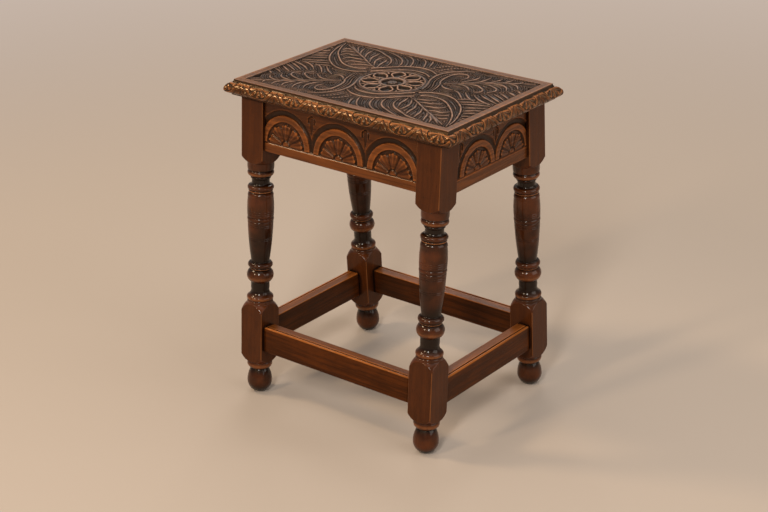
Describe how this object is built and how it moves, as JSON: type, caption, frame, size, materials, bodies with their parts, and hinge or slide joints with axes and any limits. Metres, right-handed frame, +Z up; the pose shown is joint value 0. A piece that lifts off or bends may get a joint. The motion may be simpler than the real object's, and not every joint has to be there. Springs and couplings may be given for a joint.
{
  "type": "joint stool",
  "caption": "Oak joint stool: carved, thumb-moulded rectangular top on turned, splayed legs, with arcaded aprons and low moulded stretchers.",
  "frame": {"origin": "on the floor, under the middle of the stool", "axes": "+Z up, X along the long side, Y along the short side with the front at -Y"},
  "size_m": [0.4396, 0.3306, 0.533],
  "materials": {
    "oak_top": "waxed dark oak",
    "oak_frame": "polished dark oak",
    "steel": "dull steel"
  },
  "bodies": {
    "root": {"seat_top": "oak_top", "leg_front_left": "oak_frame", "leg_front_right": "oak_frame", "leg_back_left": "oak_frame", "leg_back_right": "oak_frame", "apron_front": "oak_frame", "apron_back": "oak_frame", "apron_left": "oak_frame", "apron_right": "oak_frame", "stretcher_front": "oak_frame", "stretcher_back": "oak_frame", "stretcher_left": "oak_frame", "stretcher_right": "oak_frame", "top_screws": "steel"}
  },
  "joints": []
}
